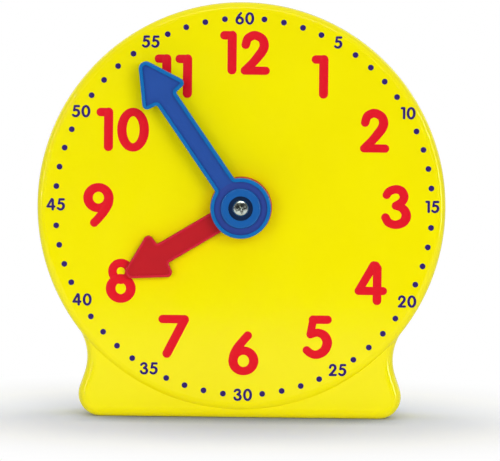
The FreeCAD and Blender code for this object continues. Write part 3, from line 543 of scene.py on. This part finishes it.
# ---------------------------------------------------------------- hands
# Two arrows moulded in coloured polystyrene, each with a polished raised rim round a face
# left dull by the spark-eroded tool. The blue one is screwed down on its arbor.
# The rims are painted brighter than their faces: painted highlights.
BLUE_RIM_PAINTED_HIGHLIGHT = "#0C6AB2"
BLUE_FACE = "#1E4C9F"
# The boss tone is painted light, the deep ring tone and the well tone painted shade.
BLUE_BOSS_PAINTED_LIGHT = "#175CA6"
BLUE_RING_PAINTED_SHADE = "#274396"
BLUE_WELL_PAINTED_SHADE = "#172F52"
RED_RIM_PAINTED_HIGHLIGHT = "#C91E33"
RED_FACE = "#BC0A1B"
# Where their faces lie along Y, how far a face may stray from there, and the hub's radius, in metres.
BLUE_FLOOR = -0.01435
RED_FLOOR = -0.01085
BOSS_FACE = -0.01555
WELL_FLOOR = -0.01395
FACE_SLACK = 0.00012
HUB_RADIUS = 0.0066


def rimmed_polystyrene(name, rim, face, floor, hub=None):
    """Coloured polystyrene with two finishes from one mould: a clear rim from polished steel, and a recessed
    face whose spark-eroded grain, 0.15 mm wide, spreads the light so that it looks flatter. The rim is
    painted brighter than the face, a painted highlight. A hub, where there is one, has painted light on its
    boss, painted shade on the ring round it and darker painted shade in its screw well."""
    material = bpy.data.materials.new(name)
    tree = empty_tree(material)
    place = add(tree, "ShaderNodeTexCoord")
    axes = add(tree, "ShaderNodeSeparateXYZ", {0: place.outputs["Object"]})
    recess = add(tree, "ShaderNodeMath", {0: axes.outputs["Y"], 1: floor, 2: FACE_SLACK},
                 operation="COMPARE")
    grain = add(tree, "ShaderNodeTexNoise", {
        "Vector": place.outputs["Object"], "Scale": 6600.0, "Detail": 2.0})
    flow = add(tree, "ShaderNodeTexNoise", {
        "Vector": place.outputs["Object"], "Scale": 240.0, "Detail": 3.0})
    # Painted highlight: the rim takes the brighter rim tone, the recessed face the face tone.
    colour = add(tree, "ShaderNodeMix", {0: recess.outputs[0], 6: tint(rim), 7: tint(face)},
                 data_type="RGBA")
    # Painted light on the boss, and painted shade on the ring round it and in the screw well.
    if hub:
        centred = add(tree, "ShaderNodeMapping", {
            "Vector": place.outputs["Object"], "Location": (-DIAL_CENTRE.x, 0.0, -DIAL_CENTRE.z),
            "Scale": (1.0, 0.0, 1.0)})
        reach = add(tree, "ShaderNodeVectorMath", {0: centred.outputs[0]}, operation="LENGTH")
        inner = add(tree, "ShaderNodeMath", {0: reach.outputs["Value"], 1: HUB_RADIUS},
                    operation="LESS_THAN")
        ring = add(tree, "ShaderNodeMath", {0: recess.outputs[0], 1: inner.outputs[0]},
                   operation="MULTIPLY")
        boss = add(tree, "ShaderNodeMath", {0: axes.outputs["Y"], 1: BOSS_FACE, 2: FACE_SLACK},
                   operation="COMPARE")
        well = add(tree, "ShaderNodeMath", {0: axes.outputs["Y"], 1: WELL_FLOOR, 2: FACE_SLACK},
                   operation="COMPARE")
        for mask, code in zip((ring, boss, well), hub):
            colour = add(tree, "ShaderNodeMix", {0: mask.outputs[0], 6: colour.outputs[2], 7: tint(code)},
                         data_type="RGBA")
    shade = add(tree, "ShaderNodeMapRange", {"Value": flow.outputs[0], "To Min": 0.93, "To Max": 1.07})
    varied = add(tree, "ShaderNodeHueSaturation", {"Color": colour.outputs[2], "Value": shade.outputs[0]})
    dull = add(tree, "ShaderNodeMapRange", {"Value": recess.outputs[0], "To Min": 0.16, "To Max": 0.42})
    smear = add(tree, "ShaderNodeMath", {0: flow.outputs[0], 1: 0.10, 2: dull.outputs[0]},
                operation="MULTIPLY_ADD")
    depth = add(tree, "ShaderNodeMapRange", {"Value": recess.outputs[0], "To Min": 0.03, "To Max": 0.30})
    skin = add(tree, "ShaderNodeBump", {
        "Height": grain.outputs[0], "Strength": depth.outputs[0], "Distance": 0.00002})
    surface = add(tree, "ShaderNodeBsdfPrincipled", {
        "Base Color": varied.outputs[0],
        "Roughness": smear.outputs[0],
        "IOR": 1.59,
        "Specular IOR Level": 0.16,
        "Normal": skin.outputs[0],
    })
    add(tree, "ShaderNodeOutputMaterial", {"Surface": surface.outputs[0]})
    return material


frame["nodes"]["minute_hand"].material_slots[0].material = rimmed_polystyrene(
    "blue_polystyrene", BLUE_RIM_PAINTED_HIGHLIGHT, BLUE_FACE, BLUE_FLOOR, (BLUE_RING_PAINTED_SHADE, BLUE_BOSS_PAINTED_LIGHT, BLUE_WELL_PAINTED_SHADE))
frame["nodes"]["hour_hand"].material_slots[0].material = rimmed_polystyrene(
    "red_polystyrene", RED_RIM_PAINTED_HIGHLIGHT, RED_FACE, RED_FLOOR)

# ---------------------------------------------------------------- screws
# Self-tapping pan-head screws with a cross recess, cold headed and thread rolled in steel, then
# nickel plated. One holds the minute hand on its arbor, five hold the two shells together.
NICKEL = "#DFE6DC"
NICKEL_STAINED = "#BCC6B8"
# Painted shade, laid in the cross recess:
CROSS_PAINTED_SHADE_COLOUR = "#34362F"
# Radius and height of the head, then radius, length and pitch of the thread, in mm.
HAND_SCREW = (2.0, 0.9, 0.9, 7.0, 0.7)
CASE_SCREW = (2.3, 1.5, 1.2, 7.0, 0.9)
# Length and half width of the cross's arms and the depth of its floor's middle and edge, in head radii.
CROSS_ARM = 0.68
CROSS_HALF_WIDTH = 0.16
CROSS_DEPTHS = (0.42, 0.26)
# How strongly painted shade darkens the middle and the edge of that floor and the mouth of the cross.
CROSS_PAINTED_SHADE_SHARES = (0.1, 0.9, 0.7)
# Depth of the thread and width of its tip, in thread radii, and length of the tip and the neck in mm.
THREAD_DEPTH = 0.25
TIP_WIDTH = 0.25
TIP_LENGTH = 1.4
NECK_LENGTH = 0.12
# How far the last turn of the screwdriver left each cross turned, in degrees.
CROSSES = {
    "hand_screw": 20.0,
    "case_screw_top": 31.0,
    "case_screw_right": 74.0,
    "case_screw_left": 8.0,
    "case_screw_foot_right": 55.0,
    "case_screw_foot_left": 20.0,
}


def nickel_plate():
    """Bright nickel on cold-headed steel: a clear mirror with the faint grain of the heading tool, 0.12 mm
    wide, and small smears of assembly grease. Where the recess attribute is high, in the cross, it is painted
    dark as painted shade."""
    material = bpy.data.materials.new("bright_nickel_plate")
    tree = empty_tree(material)
    place = add(tree, "ShaderNodeTexCoord")
    deep = add(tree, "ShaderNodeAttribute", attribute_name="recess")
    smears = add(tree, "ShaderNodeTexNoise", {
        "Vector": place.outputs["Object"], "Scale": 900.0, "Detail": 4.0})
    grain = add(tree, "ShaderNodeTexNoise", {
        "Vector": place.outputs["Object"], "Scale": 8000.0, "Detail": 1.0})
    dull = add(tree, "ShaderNodeMapRange", {
        "Value": smears.outputs[0], "From Min": 0.3, "From Max": 0.8, "To Min": 0.10, "To Max": 0.30})
    stain = add(tree, "ShaderNodeMix", {0: smears.outputs[0], 6: tint(NICKEL), 7: tint(NICKEL_STAINED)},
                data_type="RGBA")
    # Painted shade: the cross turns dark where the recess attribute is high.
    thin = add(tree, "ShaderNodeMix", {0: deep.outputs["Fac"], 6: stain.outputs[2], 7: tint(CROSS_PAINTED_SHADE_COLOUR)},
               data_type="RGBA")
    skin = add(tree, "ShaderNodeBump", {"Height": grain.outputs[0], "Strength": 0.10, "Distance": 0.00001})
    surface = add(tree, "ShaderNodeBsdfPrincipled", {
        "Base Color": thin.outputs[2],
        "Metallic": 1.0,
        "Roughness": dull.outputs[0],
        "Normal": skin.outputs[0],
    })
    add(tree, "ShaderNodeOutputMaterial", {"Surface": surface.outputs[0]})
    return material


def screw(head_radius, head_height, radius, length, pitch, turned):
    """A pan-head screw about its own axis, head up. Rings of points go from the floor of the cross recess
    up its walls, over the head, down its side and along the thread. The recess is the polar curve
    r(t) = min(L / cos t, w / sin t) in each quarter, the head's height falls as h (1 - 0.5 (r / R) ** 3),
    and the thread's radius is the crest less the depth times the sawtooth of height / pitch - t / 2 pi."""
    arm, half = CROSS_ARM * head_radius, CROSS_HALF_WIDTH * head_radius
    corner = math.degrees(math.atan2(half, arm))
    quarter = np.concatenate([np.linspace(-corner, corner, 6), np.linspace(corner, 90 - corner, 10)[1:-1]])
    t = np.radians(np.concatenate([quarter + 90 * k for k in range(4)]) + turned)
    near = np.radians(np.abs((np.degrees(t) - turned + 45) % 90 - 45))
    cross = np.minimum(arm / np.cos(near), half / np.maximum(np.sin(near), 1e-6))
    deep = np.minimum(0.45 * arm / np.cos(near), 0.7 * half / np.maximum(np.sin(near), 1e-6))
    over = np.linspace(0, 1, 14)[:, None] ** 0.8
    dome = cross * (1 - over) + head_radius * over
    crown = head_height * (1 - 0.5 * (dome / head_radius) ** 3)
    floor = head_height - head_radius * np.array(CROSS_DEPTHS)[:, None]
    under = np.full((3, len(t)), [[head_radius], [0.97 * head_radius], [radius]])
    side = np.full((3, len(t)), [[0.08 * head_height], [0.0], [0.0]])
    head = np.vstack([0.15 * deep, deep, dome, under])
    rise = np.vstack([floor * np.ones(len(t)), crown, side])
    down = np.linspace(-NECK_LENGTH, -length, int(10 * length / pitch))[:, None]
    saw = np.abs(2 * ((down / pitch - t / (2 * math.pi)) % 1.0) - 1)
    taper = np.clip((length + down) / TIP_LENGTH, TIP_WIDTH, 1.0)
    thread = (radius - THREAD_DEPTH * radius * saw) * taper
    radii = np.vstack([head, thread])
    rises = np.vstack([rise, np.broadcast_to(down, thread.shape)])
    return np.stack([radii * np.cos(t), radii * np.sin(t), rises], -1)


nickel = nickel_plate()
for node, turned in CROSSES.items():
    low, high = (np.array(corner) * 1000.0 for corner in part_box(node))
    middle = (low + high) / 2
    if node == "hand_screw":
        sizes, body = HAND_SCREW, "minute"
        out, seat = -1.0, low[1] + sizes[1]
    else:
        sizes, body = CASE_SCREW, "case"
        out, seat = 1.0, high[1] - sizes[1]
    shape = screw(*sizes, turned)
    placed = np.stack([middle[0] + shape[..., 0], seat + out * shape[..., 2],
                       middle[2] + shape[..., 1]], -1)
    made = piece(f"{node}_plated", [lofted(placed)], nickel, body, 35.0)
    # The recess attribute holds how much painted shade each of the cross's first rings gets.
    deep = np.zeros(placed.shape[:2])
    deep[:3] = np.array(CROSS_PAINTED_SHADE_SHARES)[:, None]
    made.data.attributes.new("recess", "FLOAT", "POINT").data.foreach_set("value", deep.ravel())
    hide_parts(node)

# ---------------------------------------------------------------- motion work
# The arbor with its pinion, the compound gear and the hour wheel with its tube are moulded in
# natural acetal. They turn on a ground steel pin, and a coned spring washer holds them in place.
ACETAL = "#E9E7DE"
ACETAL_MILKY = "#F1F0EA"
PIN_STEEL = "#A9ABAE"
WASHER_STEEL = "#8F9094"


def natural_acetal():
    """Natural acetal, moulded: milky white and waxy, a soft highlight and a little light let through. Sink
    marks about 5 mm wide and a fine tool grain break up its surface."""
    material = bpy.data.materials.new("natural_acetal")
    tree = empty_tree(material)
    place = add(tree, "ShaderNodeTexCoord")
    sink = add(tree, "ShaderNodeTexNoise", {
        "Vector": place.outputs["Object"], "Scale": 200.0, "Detail": 2.0})
    grain = add(tree, "ShaderNodeTexNoise", {
        "Vector": place.outputs["Object"], "Scale": 5000.0, "Detail": 2.0})
    milk = add(tree, "ShaderNodeMix", {0: sink.outputs[0], 6: tint(ACETAL), 7: tint(ACETAL_MILKY)},
               data_type="RGBA")
    dull = add(tree, "ShaderNodeMapRange", {"Value": sink.outputs[0], "To Min": 0.32, "To Max": 0.46})
    skin = add(tree, "ShaderNodeBump", {"Height": grain.outputs[0], "Strength": 0.08, "Distance": 0.00003})
    surface = add(tree, "ShaderNodeBsdfPrincipled", {
        "Base Color": milk.outputs[2],
        "Roughness": dull.outputs[0],
        "IOR": 1.48,
        "Subsurface Weight": 0.15,
        "Subsurface Radius": (1.0, 0.9, 0.8),
        "Subsurface Scale": 0.001,
        "Normal": skin.outputs[0],
    })
    add(tree, "ShaderNodeOutputMaterial", {"Surface": surface.outputs[0]})
    return material


def ground_steel(name, code, roughness):
    """Bare steel left by grinding or rolling: grey, with fine lines 0.1 mm apart that draw the highlight
    out."""
    material = bpy.data.materials.new(name)
    tree = empty_tree(material)
    place = add(tree, "ShaderNodeTexCoord")
    turned = add(tree, "ShaderNodeMapping", {
        "Vector": place.outputs["Object"], "Scale": (600.0, 9000.0, 600.0)})
    lines = add(tree, "ShaderNodeTexNoise", {"Vector": turned.outputs[0], "Scale": 1.0, "Detail": 2.0})
    dull = add(tree, "ShaderNodeMapRange", {
        "Value": lines.outputs[0], "To Min": roughness, "To Max": roughness + 0.16})
    skin = add(tree, "ShaderNodeBump", {"Height": lines.outputs[0], "Strength": 0.15, "Distance": 0.00001})
    surface = add(tree, "ShaderNodeBsdfPrincipled", {
        "Base Color": tint(code),
        "Metallic": 1.0,
        "Roughness": dull.outputs[0],
        "Normal": skin.outputs[0],
    })
    add(tree, "ShaderNodeOutputMaterial", {"Surface": surface.outputs[0]})
    return material


acetal = natural_acetal()
for node in ("minute_arbor", "intermediate_gear", "hour_wheel"):
    frame["nodes"][node].material_slots[0].material = acetal
frame["nodes"]["intermediate_axle"].material_slots[0].material = ground_steel(
    "ground_steel_pin", PIN_STEEL, 0.20)
frame["nodes"]["friction_washer"].material_slots[0].material = ground_steel(
    "rolled_spring_steel", WASHER_STEEL, 0.28)
